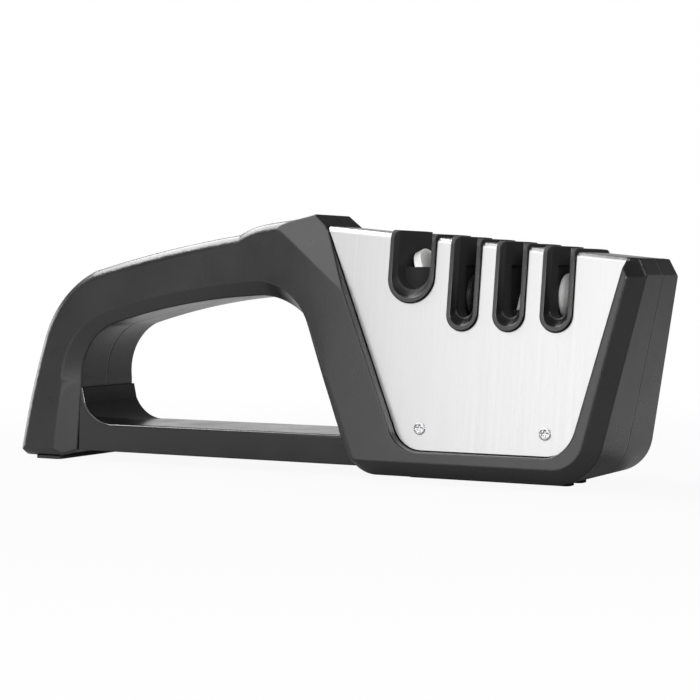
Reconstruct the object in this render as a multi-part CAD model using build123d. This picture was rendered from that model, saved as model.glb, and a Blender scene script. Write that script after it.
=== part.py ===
from build123d import *
import math
import os

os.makedirs("parts", exist_ok=True)

# A pull through knife sharpener: a hollow arched handle and a wedge shaped head in black plastic,
# moulded as a front and a rear half, with a bent steel cover over the head. Four guides stand in
# slots of the cover: one for scissors, one with coarse wheels, one with carbide blades and one with
# fine ceramic wheels. The origin lies on the table below the middle of the sharpener, +Z is up,
# +X runs from the handle to the head, and the front is on the -Y side.

# Overall sizes, in millimetres
length = 210.5
height = 76.3
left = -length / 2
right = length / 2
head_length = 98.7  # from the nose back to the upper left corner of the steel
arch_length = length - head_length
overrun = 4.0  # how far a cutting body runs past what it cuts
wall = 2.4  # moulded wall of both halves
moulding_gap = 0.15  # between one moulding and the next
leg_sole = 0.95  # underside of the leg, above the table
head_sole = 1.85  # underside of the head

# Side faces: half thickness of the body at the table, and high up where all of it is as thick
handle_half = 17.05
head_half = 25.2
crown_half = 12.9
crown_rise = 4.8
crown_height = height + crown_rise
flare_reach = 50.6  # the handle widens from here, left of the steel's corner, to there, right of it
flare_overlap = 9.4

# Arch of the handle, in shares of the arch's length from the foot's tip and of the height
leg_middle_shares = (0.0220, 0.2166)
leg_end_shares = (0.0699, 0.4877)
shoulder_middle_shares = (0.1252, 0.6501)
shoulder_end_shares = (0.2478, 0.7851)
back_middle_shares = (0.4893, 0.8663)
back_end_shares = (0.7308, 0.9240)
thumb_dip_shares = (0.8623, 0.9731)
thumb_rest_shares = (0.9204, 0.9850)
hump_shares = (0.9573, 1.0)
leg_slope_reach = 15.2  # from the foot's tip to where the leg's underside starts to rise
foot_round = 2.4
foot_lean = 0.12  # how much the leg leans where its foot is rounded
edge_round = 3.3  # rounding between the arch's outside and its side faces
long_edge = 9.0  # only edges longer than this are rounded

# Hand opening: the rim of its walls, in the same shares
opening_leg_reach = 21.8
opening_leg_shares = (0.2057, 0.3298)
opening_shoulder_middle_shares = (0.2327, 0.4815)
opening_shoulder_shares = (0.2996, 0.5634)
opening_top_middle_shares = (0.5368, 0.6452)
opening_top_shares = (0.8068, 0.6867)
opening_strut_middle_shares = (0.9030, 0.6461)
opening_strut_shares = (0.9633, 0.5701)
opening_side_middle_shares = (1.0233, 0.3906)
opening_corner_shares = (1.0868, 0.1839)
chin_shares = (1.1377, 0.0667)
chin_radius = 10.0

# Bevelled band round the opening: how deep it goes, and its outer line for that depth
band_depth = 2.43
band_start = 0.6
band_leg_reach = 12.8
band_leg_shares = (0.1490, 0.3298)
band_shoulder_middle_shares = (0.1973, 0.5240)
band_shoulder_shares = (0.3080, 0.6186)
band_top_middle_shares = (0.5387, 0.6984)
band_top_shares = (0.8068, 0.7250)
band_strut_middle_shares = (0.9097, 0.6658)
band_strut_shares = (0.9678, 0.5734)
strut_bevel_depth = 1.5  # the band goes on down the strut as a shallower bevel
strut_bevel_width = 2.3

# Head: the steel panel's outline on the front, and the sloping top
panel_half = 21.8  # half thickness over the steel, at the table
panel_lean = 0.15  # how much thinner each side gets per unit of height
panel_top_left_x = right - head_length
panel_top_left_drop = 3.6
panel_top_left_z = height - panel_top_left_drop
panel_top_right_inset = 5.1
panel_top_right_x = right - panel_top_right_inset
panel_top_right_drop = 13.3
panel_top_right_z = height - panel_top_right_drop
panel_bottom = 9.3
panel_left_foot_inset = 69.3
panel_left_foot_x = right - panel_left_foot_inset
panel_right_foot_inset = 18.3
panel_right_foot_x = right - panel_right_foot_inset
panel_corner_radius = 9.5
steel_sheet = 0.8
bend_radius = 2.0
cover_seat_gap = 0.05
cover_edge_gap = 0.25
top_slope = (panel_top_left_z - panel_top_right_z) / (panel_top_right_x - panel_top_left_x)
flare_start = panel_top_left_x - flare_reach
flare_end = panel_top_left_x + flare_overlap

# Nose: the end of the head
nose_top_inset = 2.2
nose_chamfer_height = 4.6
nose_foot_inset = 11.8
nose_radius = 13.0
nose_bevel = 4.2
hump_wall_gap = 0.7  # the hump's wall stands this far left of the steel's corner

# Facets that narrow the hump towards the top of the steel. Each of the three points of the front
# one is given by its reach right of the steel's upper left corner, its depth and its drop
facet_low_reach, facet_low_depth, facet_low_drop = 9.2, 17.1, 23.1
facet_back_reach, facet_back_depth, facet_back_drop = -13.5, 14.0, 5.2
facet_top_reach, facet_top_depth, facet_top_drop = 0.0, 10.6, 3.6

# Hollow inside both halves
seat_wall = 2.0  # wall behind the steel

# Guides: U shaped channels that stand in the slots of the steel
scissors_inset = 69.95
scissors_x = right - scissors_inset
scissors_width = 14.35
scissors_drop = 25.75
scissors_bottom = height - scissors_drop
coarse_inset = 53.2
coarse_x = right - coarse_inset
knife_pitch = 14.15
knife_width = 9.25
knife_drop = 33.45
knife_bottom = height - knife_drop
guide_proud = 0.9  # how far a guide stands out of the steel
guide_wall = 2.05
guide_floor = 3.7
guide_gap = 0.12  # between a guide and the shells or the carrier
funnel_width = 1.0  # flared mouth of a channel: at its sides, at its floor, and how deep it goes
funnel_drop = 2.4
funnel_depth = 2.0
pocket_half_width = 3.6  # room for the wheels or blades inside a knife guide
pocket_half_depth = 7.3
pocket_floor = 2.2
pocket_bottom = knife_bottom + pocket_floor
pocket_top_drop = 15.2
pocket_top = height - pocket_top_drop

# Wheels and their axles
axle_drop = 24.2
axle_z = height - axle_drop
axle_radius = 1.2
axle_half_length = 7.35
axle_play = 0.05
axle_clearance = 0.3  # where an axle passes through a guide without bearing on it
wheel_radius = 6.7
wheel_hub_radius = 2.2
wheel_half_gap = 0.15
wheel_cone = 1.65
wheel_rim = 1.2

# Carbide blades and their holder
blade_width = 13.0
blade_sheet = 1.5
blade_gap = 0.2
blade_depth = 5.8
blade_tilt = 15.0
blade_centre_drop = 24.4
blade_centre_z = height - blade_centre_drop
blade_slot_gap = 0.1
holder_half_width = 3.3
holder_half_depth = 6.8
holder_height = 3.6

# Scissors stone and the ledge that holds it
ledge_half_depth = 7.0
ledge_top_drop = 15.6
ledge_top = height - ledge_top_drop
stone_radius = 6.5
stone_sheet = 2.4
stone_tilt = 25.0
stone_shift = 0.75  # its centre lies this far left of the guide's middle
stone_x = scissors_x - stone_shift
stone_drop = 16.6
stone_z = height - stone_drop
stone_embed = 2.0
stone_gap = 0.1

# Carrier that holds the guides and carries the axles
carrier_end_wall = 3.2
carrier_floor = 3.7
carrier_bottom = knife_bottom - carrier_floor
carrier_gap = 0.3
shelf_height = 2.4
shelf_half_reach = 9.0  # half the clear width between the shelves under the carrier

# Base rail below the hand opening, with its foot plug in the leg. The reaches of its sweep run
# from the leg's side at that height, and the others from the foot's tip
rail_half_width = 14.0
rail_underside = 3.3
rail_top = 11.95
rail_end_inset = 78.3
rail_end_x = right - rail_end_inset
rail_flange_half = 16.0
rail_flange_bottom = 9.1
rail_flange_top = 15.1
rail_sweep_start_reach = 14.1263
rail_sweep_middle_reach = 6.6305
rail_sweep_middle_z = 13.7
rail_sweep_end_reach = 2.0622
rail_sweep_end_z = 18.6
rail_tongue_top = 23.1
rail_tongue_sheet = 0.7
rail_edge_round = 0.7
rail_step_inset = 84.8  # where its underside steps up into the head
rail_step_end_inset = 81.8
rail_step_z = 6.3
rail_wall = 2.4
rail_hollow_reach = 30.2
rail_hollow_inset = 92.3
rail_ribs = 4
rail_rib_sheet = 1.6
plug_half_width = 12.0
plug_reach = 4.6
plug_sheet = 2.4
plug_rise_reach = 16.2
plug_neck_top = 6.3
plug_neck_reach = 24.2

# Base plate in the underside of the head, rubber pads, and the screws that come from below
plate_left_inset = 74.3
plate_left = right - plate_left_inset
plate_right_inset = 24.3
plate_right = right - plate_right_inset
plate_half_width = 14.0
plate_sheet = 2.4
plate_corner_radius = 3.0
plate_screw_inset = 5.0
plate_screw_y = 10.5
pad_half_width = 15.0
pad_reach = 5.4
head_pad_inner = 2.0
head_pad_width = 5.0
pad_corner_radius = 1.5
screw_radius = 1.25
screw_head_radius = 2.3
screw_head_height = 1.2
screw_length = 9.0
screw_play = 0.05
head_play = 0.15
recess_arm_share = 0.62  # cross recess of a screw, in shares of its head's radius and height
recess_sheet_share = 0.26
recess_depth_share = 0.7
boss_radius = 3.0
boss_rise = 12.0
foot_screw_reach = 9.7
foot_screw_x = left + foot_screw_reach
foot_screw_y = 6.5
foot_boss_half = 3.3
foot_boss_rise = 15.0

# Screws across the head, and the small ones that hold the steel
shell_screw_insets = (54.3, 34.3)
shell_screw_drop = 14.05  # below the carrier's underside
shell_screw_z = carrier_bottom - shell_screw_drop
shell_screw_seat = 15.4
shell_screw_length = 21.0
shell_boss_radius = 3.6
cover_screw_insets = (64.1, 26.0)
cover_screw_rise = 6.0  # above the steel's lower edge
cover_screw_z = panel_bottom + cover_screw_rise
cover_screw_radius = 1.0
cover_head_radius = 1.7
cover_head_height = 0.5
cover_screw_length = 7.0
cover_boss_radius = 2.6
cover_boss_depth = 6.5

# Dowels between the halves: three along the arch, in its shares, and two in the head
arch_pin_shares = ((0.136, 0.408), (0.485, 0.742), (0.790, 0.806))
head_pin_places = ((79.3, 14.05), (19.3, 20.05))  # inset from the nose, drop below the carrier
pin_radius = 2.0
pin_length = 4.0
socket_wall = 1.6


def at(shares):
    """A point of the outline from its shares of the arch's length and of the height."""
    return (left + arch_length * shares[0], height * shares[1])


def both_ways(face, reach):
    """A prism through the body, as far to the front as to the rear."""
    return extrude(face, amount=reach, both=True)


def top_z(x):
    """Height of the sloping steel top."""
    return panel_top_left_z - top_slope * (x - panel_top_left_x)


def envelope(handle_thick, head_thick, crown_thick):
    """The body between its two side faces: a plan at the table lofted to a plan at the crown."""
    plans = []
    for thin, thick, level in ((handle_thick, head_thick, 0), (crown_thick, crown_thick, crown_height)):
        start = left - overrun
        end = right + overrun
        middle = (flare_start + flare_end) / 2
        quarter = (flare_end - flare_start) / 4
        step = (thick - thin) / 2
        flank = [
            (start, thin),
            (flare_start, thin),
            (flare_start + quarter, thin + step / 4),
            (middle, thin + step),
            (flare_end - quarter, thick - step / 4),
            (flare_end, thick),
            (end, thick),
        ]
        other = [(x, -y) for x, y in reversed(flank)]
        curve = Curve() + [
            Line(flank[0], flank[1]),
            Spline(*flank[1:6], tangents=((1, 0), (1, 0))),
            Line(flank[5], flank[6]),
            Line(flank[6], other[0]),
            Line(other[0], other[1]),
            Spline(*other[1:6], tangents=((-1, 0), (-1, 0))),
            Line(other[5], other[6]),
            Line(other[6], flank[0]),
        ]
        plans.append(Plane.XY.offset(level) * make_face(curve))
    return loft(plans, ruled=True)


def wedge(offset, radius):
    """The head's wedge at an offset from the steel's outer face, with its top edges rounded."""
    foot = panel_half + offset * panel_slant + panel_lean * overrun
    tall = crown_height + overrun
    tip = panel_half + offset * panel_slant - panel_lean * crown_height
    section = Polyline(
        (foot, -overrun), (tip, crown_height), (-tip, crown_height), (-foot, -overrun), close=True
    )
    bar = extrude(Plane.YZ * make_face(section), amount=right + overrun)
    slope = math.degrees(math.atan(top_slope))
    lid = Plane((panel_top_left_x, 0, panel_top_left_z)) * Rot(0, slope, 0)
    cutter = lid * Pos(0, 0, offset) * Box(
        2 * length, length, tall, align=(Align.CENTER, Align.CENTER, Align.MIN)
    )
    solid = bar - cutter
    edges = solid.faces().sort_by(Axis.Z)[-1].edges().filter_by(lambda e: e.length > head_length)
    return fillet(edges, radius)


def panel_outline(grow):
    """The steel panel's outline, grown by an amount, running up past the top."""
    lift = crown_height + overrun
    left_run = (panel_top_left_x - panel_left_foot_x) / (panel_top_left_z - panel_bottom)
    right_run = (panel_top_right_x - panel_right_foot_x) / (panel_top_right_z - panel_bottom)
    rise = lift - panel_bottom
    corners = [
        (panel_left_foot_x, panel_bottom),
        (panel_right_foot_x, panel_bottom),
        (panel_right_foot_x + right_run * rise, lift),
        (panel_left_foot_x + left_run * rise, lift),
    ]
    sketch = make_face(Polyline(*corners, close=True))
    sketch = fillet(sketch.vertices().sort_by(Axis.Y)[:2], panel_corner_radius)
    if grow:
        sketch = offset(sketch, grow, kind=Kind.INTERSECTION)
    return Plane.XZ * sketch


# Outline of both halves, seen from the front: leg, arch, hump, head and nose
panel_slant = math.sqrt(1 + panel_lean**2)
foot_tip = (left - foot_round * foot_lean, leg_sole)
hump_top = at(hump_shares)
hump_foot_x = panel_top_left_x - hump_wall_gap
hump_foot = (hump_foot_x, top_z(hump_foot_x))
under_steel = steel_sheet + cover_seat_gap
seat_left = (panel_top_left_x - cover_edge_gap, top_z(panel_top_left_x) - under_steel)
cap_x = panel_top_right_x + cover_edge_gap
seat_right = (cap_x, top_z(cap_x) - under_steel)
cap_edge = (cap_x, top_z(cap_x))
nose_top = (right - nose_top_inset, top_z(right - nose_top_inset))
nose_brow = (right, nose_top[1] - nose_chamfer_height)
nose_foot = (right - nose_foot_inset, head_sole)
chin_foot = (at(chin_shares)[0], head_sole)
opening_leg_foot_x = left + opening_leg_reach
opening_foot = (opening_leg_foot_x, rail_underside)
leg_slope = (left + leg_slope_reach, leg_sole)


def outline(thumb_curve):
    """The whole outline as a face, with the given curve from the back of the arch to the hump."""
    sketch = make_face(Curve() + [
        ThreePointArc(foot_tip, at(leg_middle_shares), at(leg_end_shares)),
        ThreePointArc(at(leg_end_shares), at(shoulder_middle_shares), at(shoulder_end_shares)),
        ThreePointArc(at(shoulder_end_shares), at(back_middle_shares), at(back_end_shares)),
        thumb_curve,
        Polyline(hump_top, hump_foot, seat_left, seat_right, cap_edge, nose_top, nose_brow,
                 nose_foot, chin_foot, at(opening_corner_shares)),
        ThreePointArc(at(opening_corner_shares), at(opening_side_middle_shares), at(opening_strut_shares)),
        ThreePointArc(at(opening_strut_shares), at(opening_strut_middle_shares), at(opening_top_shares)),
        ThreePointArc(at(opening_top_shares), at(opening_top_middle_shares), at(opening_shoulder_shares)),
        ThreePointArc(
            at(opening_shoulder_shares), at(opening_shoulder_middle_shares), at(opening_leg_shares)
        ),
        Polyline(at(opening_leg_shares), opening_foot, leg_slope, foot_tip),
    ])
    for corner, radius in ((nose_foot, nose_radius), (chin_foot, chin_radius)):
        sketch = fillet(sketch.vertices().sort_by_distance(corner)[:1], radius)
    return sketch


thumb_curve = Spline(at(back_end_shares), at(thumb_dip_shares), at(thumb_rest_shares), hump_top)
body_face = outline(thumb_curve)
side_faces = envelope(handle_half, head_half, crown_half)
body = both_ways(Plane.XZ * body_face, head_half + overrun) & side_faces
back_edge_height = at(opening_top_shares)[1] + band_depth
band_clear = (opening_leg_reach - band_leg_reach) / 2


def is_back_edge(edge):
    """True for the long edges between the outer arch and a side face."""
    ends = [edge @ 0, edge @ 1]
    middle = edge @ (1 / 2)
    outer = middle.Z > back_edge_height or middle.X < opening_leg_foot_x - band_clear
    level = abs(ends[0].Y - ends[1].Y) < band_depth
    slanted = ends[0].X != ends[1].X
    left_of_hump = max(end.X for end in ends) < hump_foot_x
    return outer and level and slanted and edge.length > long_edge and left_of_hump and abs(middle.Y) > wall


body = fillet(body.edges().filter_by(is_back_edge), edge_round)

# The foot's lower corner is rounded across the leg
corner_x = left + foot_round
corner_z = leg_sole + foot_round
foot_corner = Plane.XZ * make_face(Curve() + [
    Polyline(
        (left, corner_z), (left - overrun, corner_z), (left - overrun, -overrun),
        (corner_x, -overrun), (corner_x, leg_sole),
    ),
    RadiusArc((corner_x, leg_sole), (left, corner_z), -foot_round),
])
body -= both_ways(foot_corner, head_half)


def leaning_plane(half, lean):
    """The plane of a front side face that leans back as it rises."""
    return Plane(origin=(0, -half, 0), x_dir=(1, 0, 0), z_dir=(0, -1, lean))


def inset(corners, amounts):
    """Corners of a polygon whose edges are moved inwards, each by its own amount."""
    lines = []
    count = len(corners)
    for index, amount in enumerate(amounts):
        start = Vector(corners[index])
        along = (Vector(corners[(index + 1) % count]) - start).normalized()
        lines.append((start + Vector(-along.Y, along.X) * amount, along))
    moved = []
    for index in range(count):
        (base, along), (start, other) = lines[index - 1], lines[index]
        gap = start - base
        turn = along.X * other.Y - along.Y * other.X
        moved.append(base + along * ((gap.X * other.Y - gap.Y * other.X) / turn))
    return [(point.X, point.Y) for point in moved]


def nose_keeper(amount):
    """Head outline moved in by an amount from the chin to the top of the nose, as a face."""
    far = crown_height + overrun
    corners = [
        (left, at(opening_corner_shares)[1]),
        at(opening_corner_shares),
        chin_foot,
        nose_foot,
        nose_brow,
        nose_top,
        (nose_top[0], far),
        (left, far),
    ]
    moved = inset([(x, z * head_slant) for x, z in corners], (0, 0, amount, amount, amount, amount, 0, 0))
    sketch = make_face(Polyline(*moved, close=True))
    for corner, radius in ((moved[2], chin_radius), (moved[3], nose_radius)):
        sketch = fillet(sketch.vertices().sort_by_distance(corner)[:1], radius - amount)
    return sketch


head_lean = (head_half - crown_half) / crown_height
head_slant = math.sqrt(1 + head_lean**2)
handle_lean = (handle_half - crown_half) / crown_height
head_side = leaning_plane(head_half, head_lean)
bevel_slab = extrude(
    head_side.offset(-nose_bevel) * make_face(Polyline(
        (0, -overrun), (right + overrun, -overrun), (right + overrun, crown_height), (0, crown_height),
        close=True,
    )),
    amount=nose_bevel + band_depth,
)
bevel_slab -= loft(
    [head_side.offset(band_depth) * nose_keeper(nose_bevel + band_depth),
     head_side.offset(-nose_bevel) * nose_keeper(0)],
    ruled=True,
)
body -= bevel_slab
body -= mirror(bevel_slab, Plane.XZ)


def opening_face(share):
    """Hand opening between its rim, at 0, and the outer line of its bevelled band, at 1."""

    def between(inner, outer):
        return tuple(a + (b - a) * share for a, b in zip(inner, outer))

    foot = between((opening_leg_foot_x, -overrun), (left + band_leg_reach, -overrun))
    leg = between(at(opening_leg_shares), at(band_leg_shares))
    shoulder_mid = between(at(opening_shoulder_middle_shares), at(band_shoulder_middle_shares))
    shoulder = between(at(opening_shoulder_shares), at(band_shoulder_shares))
    top_mid = between(at(opening_top_middle_shares), at(band_top_middle_shares))
    top = between(at(opening_top_shares), at(band_top_shares))
    strut_mid = between(at(opening_strut_middle_shares), at(band_strut_middle_shares))
    strut = between(at(opening_strut_shares), at(band_strut_shares))
    side_mid = at(opening_side_middle_shares)
    corner = at(opening_corner_shares)
    low = (corner[0], -overrun)
    return make_face(Curve() + [
        Line(foot, leg),
        ThreePointArc(leg, shoulder_mid, shoulder),
        ThreePointArc(shoulder, top_mid, top),
        ThreePointArc(top, strut_mid, strut),
        ThreePointArc(strut, side_mid, corner),
        Polyline(corner, low, foot),
    ])


def strut_face(grow):
    """The right side of the hand opening, with its edge along the strut moved out by an amount."""

    def out(point, share):
        return (point[0] + grow * share, point[1] * head_slant)

    top = out(at(opening_top_shares), 0)
    strut_mid = out(at(opening_strut_middle_shares), 1 / 2)
    strut = out(at(opening_strut_shares), 1)
    side_mid = out(at(opening_side_middle_shares), 1)
    corner = out(at(opening_corner_shares), 1)
    chin = out(chin_foot, 1)
    low = (top[0], chin[1])
    return make_face(Curve() + [
        ThreePointArc(top, strut_mid, strut),
        ThreePointArc(strut, side_mid, corner),
        Polyline(corner, chin, low, top),
    ])


rim_plane = leaning_plane(handle_half - band_depth, handle_lean)
band_reach = band_depth + (head_half - handle_half)
band = loft(
    [rim_plane.offset(level) * opening_face(level / band_depth) for level in (-band_start, band_reach)],
    ruled=True,
)
strut_over = strut_bevel_width * (1 + overrun / strut_bevel_depth)
strut_band = loft(
    [head_side.offset(-strut_bevel_depth) * strut_face(0),
     head_side.offset(overrun) * strut_face(strut_over)],
    ruled=True,
)
for cutter in (band, strut_band):
    body -= cutter
    body -= mirror(cutter, Plane.XZ)


def u_shape(x, half, bottom, top=crown_height + overrun):
    """A face with straight sides and a round bottom, open above the sharpener."""
    return make_face(Curve() + [
        Line((x + half, top), (x - half, top)),
        Line((x - half, top), (x - half, bottom + half)),
        ThreePointArc((x - half, bottom + half), (x, bottom), (x + half, bottom + half)),
        Line((x + half, bottom + half), (x + half, top)),
    ])


def span(x_range, y_range, z_range):
    """A block between two values on each axis."""
    (x1, x2), (y1, y2), (z1, z2) = x_range, y_range, z_range
    return Pos((x1 + x2) / 2, (y1 + y2) / 2, (z1 + z2) / 2) * Box(x2 - x1, y2 - y1, z2 - z1)


def front_and_rear(solid):
    """A front piece together with its mirror image at the rear."""
    return solid + mirror(solid, Plane.XZ)


def facet_point(reach, depth, drop):
    """A point of the front facet's plane."""
    return Vector(panel_top_left_x + reach, -depth, height - drop)


# Facets that narrow the hump, left of the steel
facet_low = facet_point(facet_low_reach, facet_low_depth, facet_low_drop)
facet_back = facet_point(facet_back_reach, facet_back_depth, facet_back_drop)
facet_top = facet_point(facet_top_reach, facet_top_depth, facet_top_drop)
facet_plane = Plane(origin=facet_low, z_dir=(facet_top - facet_low).cross(facet_back - facet_low))
facet_block = facet_plane * Box(length, length, height, align=(Align.CENTER, Align.CENTER, Align.MIN))
steel_run = (panel_left_foot_x - panel_top_left_x) / (panel_top_left_z - panel_bottom)
facet_right_top = panel_top_left_x - cover_edge_gap - steel_run * (crown_height - panel_top_left_z)
facet_right_low = panel_left_foot_x - cover_edge_gap
facet_zone = Plane.XZ * make_face(Polyline(
    (facet_right_top, crown_height), (left, crown_height), (left, panel_bottom),
    (facet_right_low, panel_bottom), close=True,
))
body -= front_and_rear(facet_block & extrude(facet_zone, amount=head_half))

# Pocket for the steel
seat_block = both_ways(panel_outline(cover_edge_gap), head_half + overrun)
body -= seat_block - wedge(-under_steel, bend_radius - under_steel)


def hollow(gap):
    """The room inside both halves, less a gap all round."""
    inner = offset(outline(Line(at(back_end_shares), hump_top)), -wall - gap)
    handle = handle_half - band_depth - wall - gap
    head = panel_half - under_steel - seat_wall - gap
    crown = head - panel_lean * crown_height
    return both_ways(Plane.XZ * inner, head_half) & envelope(handle, head, crown)


guide_places = [(scissors_x, scissors_width / 2, scissors_bottom)] + [
    (coarse_x + knife_pitch * number, knife_width / 2, knife_bottom) for number in range(3)
]


def guide_slots(gap):
    """Slots for all four guides, through the whole thickness of the head."""
    slots = [
        both_ways(Plane.XZ * u_shape(x, half + gap, bottom - gap), head_half)
        for x, half, bottom in guide_places
    ]
    return Part() + slots


centred = (Align.CENTER, Align.CENTER, Align.MIN)
hanging = (Align.CENTER, Align.CENTER, Align.MAX)


def pillar(x, z, radius, y_range):
    """A round bar along Y between two values of Y."""
    low, high = y_range
    start = Plane(origin=(x, low, z), x_dir=(1, 0, 0), z_dir=(0, 1, 0))
    return start * Cylinder(radius, high - low, align=centred)


def screw(seat, shank_radius, head_radius, head_height, reach):
    """A cross recessed screw whose head stands on a seat plane and whose shank goes below it."""
    solid = Cylinder(head_radius, head_height, align=centred) + Cylinder(shank_radius, reach, align=hanging)
    arm = 2 * head_radius * recess_arm_share
    slot = Box(arm, head_radius * recess_sheet_share, head_height * recess_depth_share, align=hanging)
    solid -= Pos(0, 0, head_height) * (slot + Rot(0, 0, 90) * slot)
    return seat * solid


def screw_hole(seat, shank_radius, head_radius, reach, depth):
    """The hole and the counterbore that a screw needs, with its plays."""
    hole = Cylinder(shank_radius + screw_play, reach + head_play, align=hanging)
    return seat * (hole + Cylinder(head_radius + head_play, depth, align=centred))


def sunk_screws(places, sole):
    """Screws from below with sunk heads, and their holes, at places on an underside."""
    seats = [Plane(origin=(x, y, sole + screw_head_height), z_dir=(0, 0, -1)) for x, y in places]
    screws = [
        screw(seat, screw_radius, screw_head_radius, screw_head_height, screw_length) for seat in seats
    ]
    depth = screw_head_height + overrun
    holes = [screw_hole(seat, screw_radius, screw_head_radius, screw_length, depth) for seat in seats]
    return Part() + screws, Part() + holes


# Base rail: the bar below the hand, its sweep up the leg, its plug in the leg's foot and its flange
leg_run = (at(opening_leg_shares)[0] - opening_leg_foot_x) / (at(opening_leg_shares)[1] - rail_underside)


def by_leg(reach, z):
    """A point at a reach from the side of the leg that faces the hand opening."""
    return (opening_leg_foot_x + leg_run * (z - rail_underside) + reach, z)


tongue_back = by_leg(moulding_gap, rail_tongue_top)
tongue_front = by_leg(moulding_gap + rail_tongue_sheet, rail_tongue_top)
rail_foot = by_leg(moulding_gap, rail_underside)
rail_start = by_leg(rail_sweep_start_reach, rail_top)
rail_sweep_middle = by_leg(rail_sweep_middle_reach, rail_sweep_middle_z)
rail_sweep_end = by_leg(rail_sweep_end_reach, rail_sweep_end_z)
rail_step_x = right - rail_step_inset
bar_face = make_face(Curve() + [
    Polyline(
        rail_sweep_end, tongue_front, tongue_back, rail_foot, (rail_step_x, rail_underside),
        (right - rail_step_end_inset, rail_step_z), (rail_end_x, rail_step_z),
        (rail_end_x, rail_top), rail_start,
    ),
    ThreePointArc(rail_start, rail_sweep_middle, rail_sweep_end),
])
bar = both_ways(Plane.XZ * bar_face, rail_half_width)


def is_rail_lip(edge):
    """True for the upper long edges of the rail and of its sweep."""
    centre = edge.center()
    outside = abs(centre.Y) > plug_half_width and edge.bounding_box().size.Y < moulding_gap
    low = centre.X < rail_step_x and centre.Z < rail_tongue_top - moulding_gap
    high = centre.Z > rail_top - moulding_gap
    free = centre.X > by_leg(moulding_gap + rail_tongue_sheet / 2, centre.Z)[0]
    return outside and low and high and free


bar = fillet(bar.edges().filter_by(is_rail_lip), rail_edge_round)
hollow_left = left + rail_hollow_reach
hollow_right = right - rail_hollow_inset
bar -= span(
    (hollow_left, hollow_right),
    (rail_wall - rail_half_width, rail_half_width - rail_wall),
    (rail_underside - overrun, rail_top - rail_wall),
)
rib_pitch = (hollow_right - hollow_left) / (rail_ribs + 1)
for number in range(rail_ribs):
    middle = hollow_left + rib_pitch * (number + 1)
    bar += span(
        (middle - rail_rib_sheet / 2, middle + rail_rib_sheet / 2),
        (rail_wall / 2 - rail_half_width, rail_half_width - rail_wall / 2),
        (rail_underside, rail_top - rail_wall / 2),
    )
plug_left = left + plug_reach
plug_top = leg_sole + plug_sheet
plug_neck_x = left + plug_neck_reach
plug_face = make_face(Polyline(
    (plug_left, leg_sole), leg_slope, opening_foot, (plug_neck_x, rail_underside),
    (plug_neck_x, plug_neck_top), (opening_leg_foot_x, plug_neck_top),
    (left + plug_rise_reach, plug_top), (plug_left, plug_top), close=True,
))
plug = both_ways(Plane.XZ * plug_face, plug_half_width)
flange = span(
    (rail_end_x - rail_wall, rail_end_x),
    (-rail_flange_half, rail_flange_half),
    (rail_flange_bottom, rail_flange_top),
)
foot_places = [(foot_screw_x, y) for y in (-foot_screw_y, foot_screw_y)]
foot_screws, foot_holes = sunk_screws(foot_places, leg_sole)
base_rail = bar + plug + flange - foot_holes

# Base plate in the underside of the head, with four screws
plate_top = head_sole + plate_sheet


def plate(grow):
    """The base plate, grown by an amount, with round corners."""
    block = span(
        (plate_left - grow, plate_right + grow),
        (-plate_half_width - grow, plate_half_width + grow),
        (head_sole, plate_top + grow),
    )
    return fillet(block.edges().filter_by(Axis.Z), plate_corner_radius + grow)


plate_screw_xs = (plate_left + plate_screw_inset, plate_right - plate_screw_inset)
plate_places = [(x, y) for x in plate_screw_xs for y in (-plate_screw_y, plate_screw_y)]
base_screws, plate_holes = sunk_screws(plate_places, head_sole)
base_plate = plate(0) - plate_holes


def rubber_pad(x_range, y_range, top):
    """A flat rubber pad on the table, with round corners."""
    block = span(x_range, y_range, (0, top))
    return fillet(block.edges().filter_by(Axis.Z), pad_corner_radius)


foot_pad = rubber_pad((left + pad_reach, leg_slope[0]), (-pad_half_width, pad_half_width), leg_sole)
head_pad_outer = head_pad_inner + head_pad_width
head_pad = rubber_pad((plate_left, plate_right), (-head_pad_outer, -head_pad_inner), head_sole)
head_pads = front_and_rear(head_pad)

# Screws that hold the steel, two on each side, square to the leaning panel
panel_plane = leaning_plane(panel_half, panel_lean)
cover_seats = []
for screw_inset in cover_screw_insets:
    place = panel_plane * Pos(right - screw_inset, cover_screw_z * panel_slant, 0)
    cover_seats.append(Plane(place.position, x_dir=(1, 0, 0), z_dir=(0, -1, panel_lean)))
cover_screws = front_and_rear(Part() + [
    screw(seat, cover_screw_radius, cover_head_radius, cover_head_height, cover_screw_length)
    for seat in cover_seats
])
cover_holes = Part() + [
    seat * Cylinder(cover_screw_radius + screw_play, cover_screw_length + head_play, align=hanging)
    for seat in cover_seats
]

# Steel cover: one sheet bent over the head, open round every guide
cover = wedge(0, bend_radius) - wedge(-steel_sheet, bend_radius - steel_sheet)
cover &= both_ways(panel_outline(0), head_half + overrun)
cover -= guide_slots(cover_edge_gap)
cover -= front_and_rear(cover_holes)

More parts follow.
